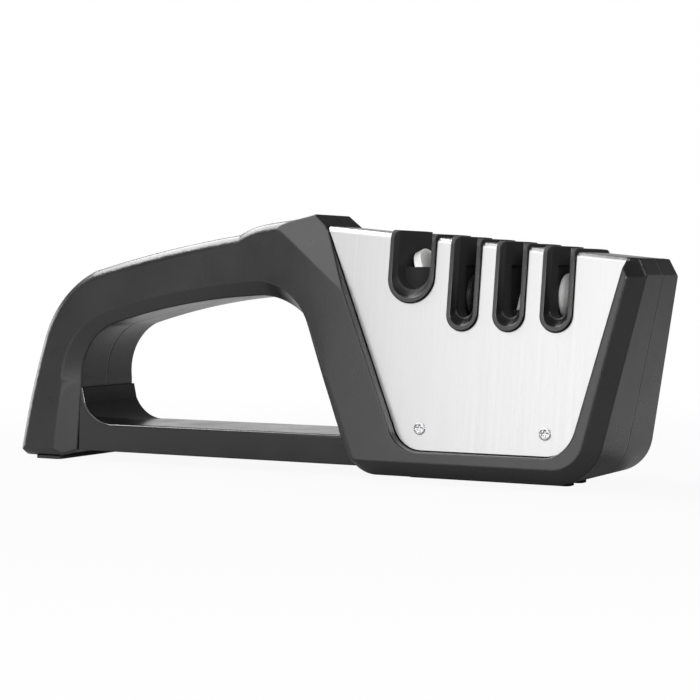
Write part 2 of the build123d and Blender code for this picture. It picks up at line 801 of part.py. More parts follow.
# Front and rear shells: half of the hollow body each, with what is moulded inside
cavity = hollow(0)
half_space = span((left - overrun, right + overrun), (-head_half - overrun, 0), (-overrun, crown_height))
solid_half = body & half_space
carrier_left = scissors_x - scissors_width / 2 - carrier_end_wall
fine_x = guide_places[3][0]
carrier_right = fine_x + axle_half_length + carrier_end_wall
boss_bottom = plate_top + screw_play
fittings = [
    span(
        (carrier_left, carrier_right),
        (-head_half, -shelf_half_reach),
        (carrier_bottom - shelf_height, carrier_bottom),
    ),
    span(
        (left, foot_screw_x + foot_boss_half),
        (-foot_screw_y - foot_boss_half, foot_boss_half - foot_screw_y),
        (plug_top + screw_play, foot_boss_rise),
    ),
]
for x in plate_screw_xs:
    boss = Pos(x, -plate_screw_y, boss_bottom) * Cylinder(boss_radius, boss_rise, align=centred)
    web = span(
        (x - boss_radius, x + boss_radius),
        (-head_half, -plate_screw_y),
        (boss_bottom, boss_bottom + boss_rise),
    )
    fittings += [boss, web]
for seat in cover_seats:
    fittings.append(seat * Cylinder(cover_boss_radius, cover_boss_depth, align=hanging))
shell_screw_xs = [right - screw_inset for screw_inset in shell_screw_insets]
for x in shell_screw_xs:
    fittings.append(pillar(x, shell_screw_z, shell_boss_radius, (-head_half, 0)))
half = solid_half - cavity - guide_slots(guide_gap)
half += (Part() + fittings) & solid_half
half -= cover_holes
half -= plate_holes + foot_holes
half -= plate(moulding_gap)
plug_room = offset(plug_face, moulding_gap, kind=Kind.INTERSECTION)
half -= both_ways(Plane.XZ * plug_room, plug_half_width + moulding_gap)
half -= span(
    (flare_end - overrun, rail_end_x),
    (-rail_half_width - moulding_gap, 0),
    (rail_step_z, rail_top + moulding_gap),
)
bar_room = offset(bar_face, moulding_gap, kind=Kind.INTERSECTION)
half -= both_ways(Plane.XZ * bar_room, rail_half_width + moulding_gap)

# The halves differ in their dowels and sockets, and in where the heads of the long screws sit
socket_radius = pin_radius + moulding_gap + socket_wall
pin_places = [at(shares) for shares in arch_pin_shares]
pin_places += [(right - pin_inset, carrier_bottom - drop) for pin_inset, drop in head_pin_places]
front_shell = half
rear_shell = mirror(half, Plane.XZ)
solid_rear = mirror(solid_half, Plane.XZ)
for x, z in pin_places:
    front_shell += pillar(x, z, pin_radius, (-head_half, 0)) & solid_half
    front_shell += pillar(x, z, pin_radius, (-wall, pin_length))
    rear_shell += pillar(x, z, socket_radius, (0, head_half)) & solid_rear
    rear_shell -= pillar(x, z, pin_radius + moulding_gap, (-overrun, pin_length + moulding_gap))
shell_seats = [
    Plane(origin=(x, shell_screw_seat, shell_screw_z), x_dir=(1, 0, 0), z_dir=(0, 1, 0))
    for x in shell_screw_xs
]
shell_screws = Part() + [
    screw(seat, screw_radius, screw_head_radius, screw_head_height, shell_screw_length)
    for seat in shell_seats
]
shell_holes = Part() + [
    screw_hole(seat, screw_radius, screw_head_radius, shell_screw_length, head_half) for seat in shell_seats
]
front_shell -= shell_holes
rear_shell -= shell_holes


# Guides: each a channel with flared mouths, the knife ones with a pocket for wheels or blades
def flared_mouth(x, half_width, bottom):
    """The mouth of a channel in the front face, wider and lower than the channel behind it."""
    face_plane = leaning_plane(panel_half + guide_proud * panel_slant, panel_lean)
    faces = []
    for share, level in ((3 / 2, funnel_depth / 2), (0, -funnel_depth)):
        half_here = half_width + funnel_width * share
        bottom_here = (bottom - funnel_drop * share) * panel_slant
        top_here = (crown_height + overrun) * panel_slant
        faces.append(face_plane.offset(level) * u_shape(x, half_here, bottom_here, top_here))
    return loft(faces, ruled=True)


def guide(place, ledge):
    """A guide with its channel and flared mouths, keeping a ledge in the channel where one is given."""
    x, half_width, bottom = place
    inner_half = half_width - guide_wall
    inner_bottom = bottom + guide_floor
    block = both_ways(Plane.XZ * u_shape(x, half_width, bottom), head_half)
    block &= wedge(guide_proud, bend_radius + guide_proud)
    channel = both_ways(Plane.XZ * u_shape(x, inner_half, inner_bottom), head_half)
    if ledge:
        channel -= ledge
    return block - channel - front_and_rear(flared_mouth(x, inner_half, inner_bottom))


def knife_pocket(x):
    """Room for wheels or blades in the middle of a knife guide."""
    return span(
        (x - pocket_half_width, x + pocket_half_width),
        (-pocket_half_depth, pocket_half_depth),
        (pocket_bottom, pocket_top),
    )


def axle_bar(x, radius, half_length):
    """A round bar along X at an axle's place."""
    start = Plane(origin=(x - half_length, 0, axle_z), z_dir=(1, 0, 0))
    return start * Cylinder(radius, 2 * half_length, align=centred)


def stone(grow):
    """The scissors stone: a disc that leans back to the left, its foot cut off level."""
    disc = Rot(0, -stone_tilt, 0) * Rot(0, 90, 0) * Cylinder(stone_radius + grow, stone_sheet + 2 * grow)
    keep = span(
        (scissors_x - scissors_width, scissors_x + scissors_width),
        (-head_half, head_half),
        (ledge_top - stone_embed - grow, crown_height),
    )
    return Pos(stone_x, 0, stone_z) * disc & keep


scissors_place, coarse_place, carbide_place, ceramic_place = guide_places
carbide_x = carbide_place[0]
ledge_block = span(
    (scissors_x - scissors_width / 2, scissors_x + scissors_width / 2),
    (-ledge_half_depth, ledge_half_depth),
    (scissors_bottom, ledge_top),
)
scissors_guide = guide(scissors_place, ledge_block) - stone(stone_gap)
scissors_stone = stone(0)
hole_radius = axle_radius + axle_clearance
coarse_guide = guide(coarse_place, None) - knife_pocket(coarse_x)
coarse_guide -= axle_bar(coarse_x, hole_radius, axle_half_length)
carbide_guide = guide(carbide_place, None) - knife_pocket(carbide_x)
ceramic_guide = guide(ceramic_place, None) - knife_pocket(fine_x)
ceramic_guide -= axle_bar(fine_x, hole_radius, axle_half_length)


# Wheels: two cones face to face on one axle, so that a blade rests in the notch between them
def wheel():
    """The right hand wheel of a pair, centred on its axle at the origin."""
    bore = axle_radius + axle_play
    back = wheel_half_gap + wheel_cone + wheel_rim
    profile = make_face(Plane.XZ * Polyline(
        (wheel_half_gap, bore), (wheel_half_gap, wheel_hub_radius),
        (wheel_half_gap + wheel_cone, wheel_radius), (back, wheel_radius), (back, bore), close=True,
    ))
    return revolve(profile, Axis.X)


right_wheel = wheel()
left_wheel = mirror(right_wheel, Plane.YZ)


# Carbide blades, one behind the other and crossed, and the block that holds their feet
def blade(tilt, y, grow):
    """A flat blade that leans sideways about the crossing height."""
    plate_shape = Box(blade_sheet + 2 * grow, blade_depth + 2 * grow, blade_width + 2 * grow)
    return Pos(carbide_x, y, blade_centre_z) * Rot(0, tilt, 0) * plate_shape


blade_y = blade_gap + blade_depth / 2
blade_holder = span(
    (carbide_x - holder_half_width, carbide_x + holder_half_width),
    (-holder_half_depth, holder_half_depth),
    (pocket_bottom, pocket_bottom + holder_height),
)
blade_holder -= blade(blade_tilt, -blade_y, blade_slot_gap) + blade(-blade_tilt, blade_y, blade_slot_gap)

# Carrier: one block that holds the four guides and carries the axles in open saddles
carrier = span((carrier_left, carrier_right), (-head_half, head_half), (carrier_bottom, crown_height))
carrier &= hollow(carrier_gap)
carrier -= guide_slots(guide_gap)
for x in (coarse_x, fine_x):
    reach = axle_half_length + axle_play
    carrier -= axle_bar(x, axle_radius + axle_play, reach)
    carrier -= span(
        (x - reach, x + reach), (-axle_radius - axle_play, axle_radius + axle_play), (axle_z, crown_height)
    )

pieces = {
    "front_shell": front_shell,
    "rear_shell": rear_shell,
    "steel_cover": cover,
    "cover_screws": cover_screws,
    "shell_screws": shell_screws,
    "base_rail": base_rail,
    "foot_screws": foot_screws,
    "foot_pad": foot_pad,
    "base_plate": base_plate,
    "base_screws": base_screws,
    "head_pads": head_pads,
    "carrier": carrier,
    "scissors_guide": scissors_guide,
    "scissors_stone": scissors_stone,
    "coarse_guide": coarse_guide,
    "coarse_axle": axle_bar(coarse_x, axle_radius, axle_half_length),
    "coarse_wheel_left": Pos(coarse_x, 0, axle_z) * left_wheel,
    "coarse_wheel_right": Pos(coarse_x, 0, axle_z) * right_wheel,
    "carbide_guide": carbide_guide,
    "carbide_blade_front": blade(blade_tilt, -blade_y, 0),
    "carbide_blade_rear": blade(-blade_tilt, blade_y, 0),
    "blade_holder": blade_holder,
    "ceramic_guide": ceramic_guide,
    "fine_axle": axle_bar(fine_x, axle_radius, axle_half_length),
    "fine_wheel_left": Pos(fine_x, 0, axle_z) * left_wheel,
    "fine_wheel_right": Pos(fine_x, 0, axle_z) * right_wheel,
}
for name, piece in pieces.items():
    export_step(piece, f"parts/{name}.step")
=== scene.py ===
import math

import bmesh
import bpy
import numpy as np
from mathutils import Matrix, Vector


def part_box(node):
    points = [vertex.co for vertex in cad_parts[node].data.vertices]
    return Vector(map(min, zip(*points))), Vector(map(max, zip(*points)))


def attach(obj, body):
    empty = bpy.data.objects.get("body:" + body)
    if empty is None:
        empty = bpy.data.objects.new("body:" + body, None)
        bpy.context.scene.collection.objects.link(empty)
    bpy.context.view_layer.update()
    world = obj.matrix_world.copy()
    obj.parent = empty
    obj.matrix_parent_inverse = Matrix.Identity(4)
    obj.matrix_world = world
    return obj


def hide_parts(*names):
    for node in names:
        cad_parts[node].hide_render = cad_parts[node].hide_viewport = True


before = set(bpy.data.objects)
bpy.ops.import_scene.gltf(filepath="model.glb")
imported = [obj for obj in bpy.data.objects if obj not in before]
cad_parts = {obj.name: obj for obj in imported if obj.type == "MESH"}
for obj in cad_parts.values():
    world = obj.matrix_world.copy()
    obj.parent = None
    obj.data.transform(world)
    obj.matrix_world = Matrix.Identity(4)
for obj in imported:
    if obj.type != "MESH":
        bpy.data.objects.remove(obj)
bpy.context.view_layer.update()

scene = bpy.context.scene
scene.view_settings.view_transform = "Standard"

# Camera: at table height in front of the head, with a long lens turned towards the handle. Its
# place, turn and lens were fitted to the perspective of the photograph.
camera_place = (0.27478, -0.47205, 0.05662)
camera_turn = math.radians(29.5)
camera_dip = math.radians(2.165)
camera_data = bpy.data.cameras.new("camera")
camera_data.sensor_width = 36.0
camera_data.lens = 93.62
camera_data.clip_start = 0.01
camera_data.clip_end = 50.0
camera = bpy.data.objects.new("camera", camera_data)
camera.location = camera_place
camera.rotation_euler = (math.pi / 2 - camera_dip, 0.0, camera_turn)
scene.collection.objects.link(camera)
scene.camera = camera

# Table: a white sheet that runs to the horizon. The camera sees it white, with a soft shadow near the
# object. To gloss, its left side adds a painted white glow to the lamp light: a painted reflection.
pure_white = (1.0, 1.0, 1.0, 1.0)
table_reach = 12.0
table_paint = (0.32, 0.32, 0.32, 1.0)
table_near_white = 0.93
shadow_start = 0.1
shadow_end = 0.4
# Painted reflection: gloss sees a white glow on the table's left, rising from the first x to the second.
painted_gloss_glow = 0.35
painted_glow_start = -0.05
painted_glow_full = -0.12


def add_node(tree, kind, values=None, **settings):
    """A shader node with its settings, and with plain values on its named or numbered inputs."""
    node = tree.nodes.new(kind)
    for key, value in settings.items():
        setattr(node, key, value)
    for key, value in (values or {}).items():
        node.inputs[key].default_value = value
    return node


def join(tree, *pairs):
    """Links each pair of an output socket and an input socket."""
    for source, target in pairs:
        tree.links.new(source, target)


def table_finish():
    """Matt paint mixed with plain white. The share of white is, to the camera, a smooth rise with
    the distance from the object, and to gloss, a painted glow that rises towards the left side."""
    material = bpy.data.materials.new("white_table")
    material.use_nodes = True
    tree = material.node_tree
    tree.nodes.clear()
    paint = add_node(tree, "ShaderNodeBsdfDiffuse", {"Color": table_paint})
    white = add_node(tree, "ShaderNodeEmission", {"Color": pure_white, "Strength": 1.0})
    path = add_node(tree, "ShaderNodeLightPath")
    place = add_node(tree, "ShaderNodeTexCoord")
    away = add_node(tree, "ShaderNodeVectorMath", operation="LENGTH")
    axes = add_node(tree, "ShaderNodeSeparateXYZ")
    fade = add_node(tree, "ShaderNodeMapRange", {
        "From Min": shadow_start, "From Max": shadow_end, "To Min": table_near_white, "To Max": 1.0
    }, interpolation_type="SMOOTHSTEP")
    # Painted reflection: a white glow for gloss that rises towards the table's left side.
    painted_glow_ramp = add_node(tree, "ShaderNodeMapRange", {
        "From Min": painted_glow_start, "From Max": painted_glow_full, "To Max": painted_gloss_glow
    })
    in_gloss = add_node(tree, "ShaderNodeMath", operation="MULTIPLY")
    in_view = add_node(tree, "ShaderNodeMath", operation="MULTIPLY_ADD")
    mix = add_node(tree, "ShaderNodeMixShader")
    out = add_node(tree, "ShaderNodeOutputMaterial")
    join(
        tree,
        (place.outputs["Object"], away.inputs[0]),
        (place.outputs["Object"], axes.inputs[0]),
        (away.outputs["Value"], fade.inputs["Value"]),
        (axes.outputs["X"], painted_glow_ramp.inputs["Value"]),
        (path.outputs["Is Glossy Ray"], in_gloss.inputs[0]),
        (painted_glow_ramp.outputs["Result"], in_gloss.inputs[1]),
        (path.outputs["Is Camera Ray"], in_view.inputs[0]),
        (fade.outputs["Result"], in_view.inputs[1]),
        (in_gloss.outputs[0], in_view.inputs[2]),
        (in_view.outputs[0], mix.inputs["Fac"]),
        (paint.outputs[0], mix.inputs[1]),
        (white.outputs[0], mix.inputs[2]),
        (mix.outputs[0], out.inputs["Surface"]),
    )
    return material


table_mesh = bpy.data.meshes.new("table")
table_corners = [(x * table_reach, y * table_reach, 0.0) for x, y in ((-1, -1), (1, -1), (1, 1), (-1, 1))]
table_mesh.from_pydata(table_corners, [], [(0, 1, 2, 3)])
table_mesh.materials.append(table_finish())
table = bpy.data.objects.new("table", table_mesh)
scene.collection.objects.link(table)

# Tent: a photographer's tent of white cloth. The camera sees it white and the object gets a low,
# even light from it. Gloss sees a bright band low on the left, dimmer to the right and in front.
tent_view_white = 1.0
tent_fill = 0.35
tent_left = 1.0
tent_right = 0.54
tent_above = 0.1
tent_front_share = 0.45
left_end = -0.3
right_start = 0.4
above_start = 0.24
low_end = 0.04
front_end = -0.8
rear_start = 0.2


def tent_world():
    """Strength = fill + gloss * (left to right * front to rear * low + above - fill)
    + camera * (white - fill), with each term a straight ramp over the direction looked in."""
    world = bpy.data.worlds.new("tent")
    world.use_nodes = True
    tree = world.node_tree
    tree.nodes.clear()
    path = add_node(tree, "ShaderNodeLightPath")
    place = add_node(tree, "ShaderNodeTexCoord")
    axes = add_node(tree, "ShaderNodeSeparateXYZ")
    across = add_node(tree, "ShaderNodeMapRange", {
        "From Min": left_end, "From Max": right_start,
        "To Min": tent_left - tent_above, "To Max": tent_right - tent_above,
    })
    front = add_node(tree, "ShaderNodeMapRange", {
        "From Min": front_end, "From Max": rear_start, "To Min": tent_front_share
    })
    low = add_node(tree, "ShaderNodeMapRange", {"From Min": above_start, "From Max": low_end})
    level = add_node(tree, "ShaderNodeMath", operation="MULTIPLY")
    band = add_node(tree, "ShaderNodeMath", {2: tent_above - tent_fill}, operation="MULTIPLY_ADD")
    in_gloss = add_node(tree, "ShaderNodeMath", {2: tent_fill}, operation="MULTIPLY_ADD")
    in_view = add_node(tree, "ShaderNodeMath", {1: tent_view_white - tent_fill}, operation="MULTIPLY_ADD")
    cloth = add_node(tree, "ShaderNodeBackground", {"Color": pure_white})
    out = add_node(tree, "ShaderNodeOutputWorld")
    join(
        tree,
        (place.outputs["Generated"], axes.inputs[0]),
        (axes.outputs["X"], across.inputs["Value"]),
        (axes.outputs["Y"], front.inputs["Value"]),
        (axes.outputs["Z"], low.inputs["Value"]),
        (across.outputs["Result"], level.inputs[0]),
        (front.outputs["Result"], level.inputs[1]),
        (level.outputs[0], band.inputs[0]),
        (low.outputs["Result"], band.inputs[1]),
        (path.outputs["Is Glossy Ray"], in_gloss.inputs[0]),
        (band.outputs[0], in_gloss.inputs[1]),
        (path.outputs["Is Camera Ray"], in_view.inputs[0]),
        (in_gloss.outputs[0], in_view.inputs[2]),
        (in_view.outputs[0], cloth.inputs["Strength"]),
        (cloth.outputs[0], out.inputs["Surface"]),
    )
    return world


scene.world = tent_world()

# Lamps: six soft boxes above, beside and in front of the object, all facing its middle. Each has a
# place, a width, a height and a power in watts.
lamp_aim = (0.0, 0.0, 0.04)
lamps = {
    "lamp_top": ((-0.68, 0.12, 0.86), 1.0, 0.6, 16.0),
    "lamp_left": ((-1.1, -0.05, 0.16), 0.7, 0.3, 3.0),
    "lamp_front": ((-0.18, -0.84, 0.25), 0.6, 0.5, 1.95),
    "lamp_edge": ((-0.76, -0.40, 0.80), 0.35, 0.35, 3.0),
    "lamp_high": ((-0.22, -0.74, 0.80), 0.6, 0.45, 2.4),
    "lamp_right": ((0.62, -0.70, 0.42), 0.35, 0.35, 6.5),
}
for lamp_name, (lamp_place, lamp_width, lamp_tall, lamp_power) in lamps.items():
    lamp_data = bpy.data.lights.new(lamp_name, "AREA")
    lamp_data.shape = "RECTANGLE"
    lamp_data.size = lamp_width
    lamp_data.size_y = lamp_tall
    lamp_data.energy = lamp_power
    lamp = bpy.data.objects.new(lamp_name, lamp_data)
    lamp.location = lamp_place
    lamp.rotation_euler = (Vector(lamp_aim) - Vector(lamp_place)).to_track_quat("-Z", "Y").to_euler()
    scene.collection.objects.link(lamp)

# Shells: two halves of black moulded plastic with a fine spark texture. They meet in a thin line
# along the middle, and every moulded edge has a small round.
plastic_ior = 1.5
plastic_gloss = 0.65
grain_depth = 0.00008
merge_reach = 0.000002
flat_turn = math.radians(0.6)
plane_turn = math.radians(1.5)
plane_area = 0.00004
flat_weight = 80
bevel_samples = 8


def grain_group():
    """Spark texture: height = fine noise + half of the distance in a cell pattern, and a slow
    mottle for the sheen."""
    group = bpy.data.node_groups.new("Moulded Grain", "ShaderNodeTree")
    face = group.interface
    face.new_socket("Grains", in_out="INPUT", socket_type="NodeSocketFloat")
    face.new_socket("Height", in_out="OUTPUT", socket_type="NodeSocketFloat")
    face.new_socket("Mottle", in_out="OUTPUT", socket_type="NodeSocketFloat")
    given = add_node(group, "NodeGroupInput")
    result = add_node(group, "NodeGroupOutput")
    place = add_node(group, "ShaderNodeTexCoord")
    fine = add_node(group, "ShaderNodeTexNoise", {"Detail": 2.0, "Roughness": 0.6})
    pits = add_node(group, "ShaderNodeTexVoronoi", {"Randomness": 1.0})
    slow = add_node(group, "ShaderNodeTexNoise", {"Scale": 60.0, "Detail": 4.0, "Roughness": 0.55})
    blend = add_node(group, "ShaderNodeMath", {1: 0.5}, operation="MULTIPLY_ADD")
    for texture in (fine, pits, slow):
        group.links.new(place.outputs["Object"], texture.inputs["Vector"])
    join(
        group,
        (given.outputs["Grains"], fine.inputs["Scale"]),
        (given.outputs["Grains"], pits.inputs["Scale"]),
        (pits.outputs["Distance"], blend.inputs[0]),
        (fine.outputs["Fac"], blend.inputs[2]),
        (blend.outputs[0], result.inputs["Height"]),
        (slow.outputs["Fac"], result.inputs["Mottle"]),
    )
    return group


moulded_grain = grain_group()


def use_group(tree, group, values):
    """A node group placed in a material with its own values."""
    node = tree.nodes.new("ShaderNodeGroup")
    node.node_tree = group
    for key, value in values.items():
        node.inputs[key].default_value = value
    return node


def new_finish(name, values):
    """An empty material with a Principled shader that has the given plain values."""
    material = bpy.data.materials.new(name)
    material.use_nodes = True
    tree = material.node_tree
    shader = tree.nodes["Principled BSDF"]
    for key, value in values.items():
        shader.inputs[key].default_value = value
    return material, tree, shader


def spread(tree, source, low, high, socket):
    """Maps the middle half of a 0 to 1 output onto a range of numbers and feeds it to a socket."""
    ramp = add_node(tree, "ShaderNodeMapRange", {
        "From Min": 0.25, "From Max": 0.75, "To Min": low, "To Max": high
    })
    join(tree, (source, ramp.inputs["Value"]), (ramp.outputs["Result"], socket))


def tint(tree, source, dark, light, socket):
    """Blends two colours by the middle of a 0 to 1 output and feeds the colour to a socket."""
    ramp = add_node(tree, "ShaderNodeValToRGB")
    for stop, position, colour in zip(ramp.color_ramp.elements, (0.3, 0.7), (dark, light)):
        stop.position = position
        stop.color = (*colour, 1.0)
    join(tree, (source, ramp.inputs["Fac"]), (ramp.outputs["Color"], socket))


def relief(tree, source, strength, distance, shader, edge):
    """A bump from a height output, over edges that are rounded to a radius."""
    round_edge = add_node(tree, "ShaderNodeBevel", {"Radius": edge}, samples=bevel_samples)
    bump = add_node(tree, "ShaderNodeBump", {"Strength": strength, "Distance": distance})
    join(
        tree,
        (round_edge.outputs["Normal"], bump.inputs["Normal"]),
        (source, bump.inputs["Height"]),
        (bump.outputs["Normal"], shader.inputs["Normal"]),
    )


def plastic_finish(name, dark, light, rough, grains, strength, edge=0.0005):
    """Satin moulded plastic: two near blacks as grey levels, an uneven sheen and a spark texture."""
    material, tree, shader = new_finish(name, {"IOR": plastic_ior, "Specular IOR Level": plastic_gloss})
    grain = use_group(tree, moulded_grain, {"Grains": grains})
    tint(tree, grain.outputs["Mottle"], (dark,) * 3, (light,) * 3, shader.inputs["Base Color"])
    spread(tree, grain.outputs["Mottle"], rough - 0.04, rough + 0.05, shader.inputs["Roughness"])
    relief(tree, grain.outputs["Height"], strength, grain_depth, shader, edge)
    return material


def finished(node, material, sharp=20.0, body="body"):
    """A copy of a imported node, joined up and shaded smooth. Edges over an angle stay crisp, and so do
    the edges between two large flat faces."""
    work = bmesh.new()
    work.from_mesh(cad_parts[node].data)
    bmesh.ops.remove_doubles(work, verts=work.verts, dist=merge_reach)
    bmesh.ops.dissolve_limit(work, angle_limit=flat_turn, verts=work.verts, edges=work.edges)
    for face in work.faces:
        face.smooth = True
    for edge in work.edges:
        turn = edge.calc_face_angle(math.pi)
        least = min(face.calc_area() for face in edge.link_faces)
        edge.smooth = turn < math.radians(sharp) and (turn < plane_turn or least < plane_area)
    mesh = bpy.data.meshes.new(node + "_finish")
    work.to_mesh(mesh)
    work.free()
    mesh.materials.clear()
    mesh.materials.append(material)
    piece = bpy.data.objects.new(node + "_finish", mesh)
    weigh = piece.modifiers.new("weigh", "WEIGHTED_NORMAL")
    weigh.keep_sharp = True
    weigh.weight = flat_weight
    scene.collection.objects.link(piece)
    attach(piece, body)
    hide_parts(node)


shell_plastic = plastic_finish(
    "shell_plastic", dark=0.004, light=0.007, rough=0.29, grains=2600.0, strength=0.3, edge=0.0009
)
for shell in ("front_shell", "rear_shell"):
    finished(shell, shell_plastic)

# Base rail: the bar below the fingers, which sweeps up against the leg. It is one black moulding,
# slightly smoother than the shells, screwed into the leg's foot.
rail_plastic = plastic_finish(
    "rail_plastic", dark=0.004, light=0.007, rough=0.17, grains=3200.0, strength=0.12
)
finished("base_rail", rail_plastic)

# Steel cover: one stainless sheet over the front, the top and the rear of the head, open round
# each guide. It is brushed upwards, bent over the head and screwed on at its lower corners.
brush_depth = 0.00002


def brush_group():
    """Brush lines: noise drawn out across x. Tone = mean of fine and coarse lines, height = fine."""
    group = bpy.data.node_groups.new("Brush Lines", "ShaderNodeTree")
    face = group.interface
    face.new_socket("Lines", in_out="INPUT", socket_type="NodeSocketFloat")
    face.new_socket("Tone", in_out="OUTPUT", socket_type="NodeSocketFloat")
    face.new_socket("Height", in_out="OUTPUT", socket_type="NodeSocketFloat")
    given = add_node(group, "NodeGroupInput")
    result = add_node(group, "NodeGroupOutput")
    place = add_node(group, "ShaderNodeTexCoord")
    draw = add_node(group, "ShaderNodeMapping", {"Scale": (1.0, 0.012, 0.012)})
    fine = add_node(group, "ShaderNodeTexNoise", {"Detail": 3.0, "Roughness": 0.7})
    coarse = add_node(group, "ShaderNodeTexNoise", {"Detail": 3.0, "Roughness": 0.6})
    part = add_node(group, "ShaderNodeMath", {1: 0.25}, operation="MULTIPLY")
    both = add_node(group, "ShaderNodeMath", operation="ADD")
    half = add_node(group, "ShaderNodeMath", {1: 0.5}, operation="MULTIPLY")
    join(
        group,
        (place.outputs["Object"], draw.inputs["Vector"]),
        (draw.outputs["Vector"], fine.inputs["Vector"]),
        (draw.outputs["Vector"], coarse.inputs["Vector"]),
        (given.outputs["Lines"], fine.inputs["Scale"]),
        (given.outputs["Lines"], part.inputs[0]),
        (part.outputs[0], coarse.inputs["Scale"]),
        (fine.outputs["Fac"], both.inputs[0]),
        (coarse.outputs["Fac"], both.inputs[1]),
        (both.outputs[0], half.inputs[0]),
        (half.outputs[0], result.inputs["Tone"]),
        (fine.outputs["Fac"], result.inputs["Height"]),
    )
    return group


brush_lines = brush_group()


def steel_finish(name, dark, light, rough, lines, strength, edge=0.00015):
    """Brushed metal: bright, with its tone and sheen broken by brush lines."""
    material, tree, shader = new_finish(name, {"Metallic": 1.0})
    brush = use_group(tree, brush_lines, {"Lines": lines})
    tint(tree, brush.outputs["Tone"], dark, light, shader.inputs["Base Color"])
    spread(tree, brush.outputs["Tone"], rough - 0.06, rough + 0.08, shader.inputs["Roughness"])
    relief(tree, brush.outputs["Height"], strength, brush_depth, shader, edge)
    return material


cover_steel = steel_finish(
    "cover_steel", dark=(0.48, 0.48, 0.48), light=(0.53, 0.53, 0.53), rough=0.34, lines=3600.0, strength=0.2
)
finished("steel_cover", cover_steel, sharp=40.0)

# Guides: four black channels, a wide one for scissors and three narrow ones for knives. Each has a
# flared lip that stands proud of the steel, and the channel behind it is left dull by the mould.
guide_plastic = plastic_finish(
    "guide_plastic", dark=0.003, light=0.005, rough=0.30, grains=3600.0, strength=0.2
)


def dull_inside(material, deep, lip, extra):
    """Adds roughness within a distance of the middle plane, none of it past the lip, in metres."""
    tree = material.node_tree
    roughness = tree.nodes["Principled BSDF"].inputs["Roughness"]
    place = add_node(tree, "ShaderNodeTexCoord")
    axes = add_node(tree, "ShaderNodeSeparateXYZ")
    depth = add_node(tree, "ShaderNodeMath", operation="ABSOLUTE")
    dull = add_node(tree, "ShaderNodeMapRange", {
        "From Min": deep, "From Max": lip, "To Min": extra, "To Max": 0.0
    })
    both = add_node(tree, "ShaderNodeMath", operation="ADD")
    join(
        tree,
        (place.outputs["Object"], axes.inputs[0]),
        (axes.outputs["Y"], depth.inputs[0]),
        (depth.outputs[0], dull.inputs["Value"]),
        (dull.outputs["Result"], both.inputs[0]),
        (roughness.links[0].from_socket, both.inputs[1]),
        (both.outputs[0], roughness),
    )


dull_inside(guide_plastic, deep=0.0115, lip=0.0145, extra=0.5)
for guide in ("scissors_guide", "coarse_guide", "carbide_guide", "ceramic_guide"):
    finished(guide, guide_plastic)

# Carrier and blade holder: plain black mouldings inside the head. The carrier holds the guides and
# both axles, and the feet of the carbide blades stand in the holder.
inner_plastic = plastic_finish(
    "inner_plastic", dark=0.004, light=0.006, rough=0.45, grains=2000.0, strength=0.3
)


def dress(node, material):
    """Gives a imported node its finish."""
    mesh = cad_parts[node].data
    mesh.materials.clear()
    mesh.materials.append(material)


for inner in ("carrier", "blade_holder"):
    dress(inner, inner_plastic)

# Wheels: each pair is two cones face to face, the coarse pair coated with dark grit and the fine
# pair of white sintered ceramic. They are pressed on a steel axle and turn with it.
weld_reach = 0.0000005
turned_sharp = math.radians(40.0)
wheel_rim = 0.0012
wheel_bore = 0.00125
wheel_hub = 0.0022
wheel_edge = 0.0003
profile_step = 0.00025
wheel_columns = 96
speck_depth = 0.00005
speck_edge = 0.00015


def add_surface(name, points, faces, material, body):
    """A closed mesh from arrays of points and of four cornered faces, with its poles joined up."""
    mesh = bpy.data.meshes.new(name)
    mesh.from_pydata(points.reshape(-1, 3).tolist(), [], faces.tolist())
    work = bmesh.new()
    work.from_mesh(mesh)
    bmesh.ops.remove_doubles(work, verts=work.verts, dist=weld_reach)
    bmesh.ops.recalc_face_normals(work, faces=work.faces)
    work.to_mesh(mesh)
    work.free()
    mesh.materials.append(material)
    mesh.shade_smooth()
    mesh.set_sharp_from_angle(angle=turned_sharp)
    piece = bpy.data.objects.new(name, mesh)
    scene.collection.objects.link(piece)
    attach(piece, body)
    return piece


def grid_faces(rows, columns, close_rows):
    """Corner numbers of the faces of a grid whose columns join up, and whose rows may join up too."""
    row_count = rows if close_rows else rows - 1
    row = np.arange(row_count)[:, None]
    column = np.arange(columns)[None, :]
    after_row = (row + 1) % rows
    after_column = (column + 1) % columns
    corners = [
        row * columns + column,
        row * columns + after_column,
        after_row * columns + after_column,
        after_row * columns + column,
    ]
    return np.stack(corners, axis=-1).reshape(-1, 4)


def along_profile(corners, step):
    """Points spaced evenly along the closed run of straight lines through some corners."""
    corners = np.asarray(corners)
    parts = []
    for start, end in zip(corners, np.roll(corners, -1, axis=0)):
        count = max(1, int(round(np.linalg.norm(end - start) / step)))
        share = np.arange(count)[:, None] / count
        parts.append(start + (end - start) * share)
    return np.concatenate(parts)


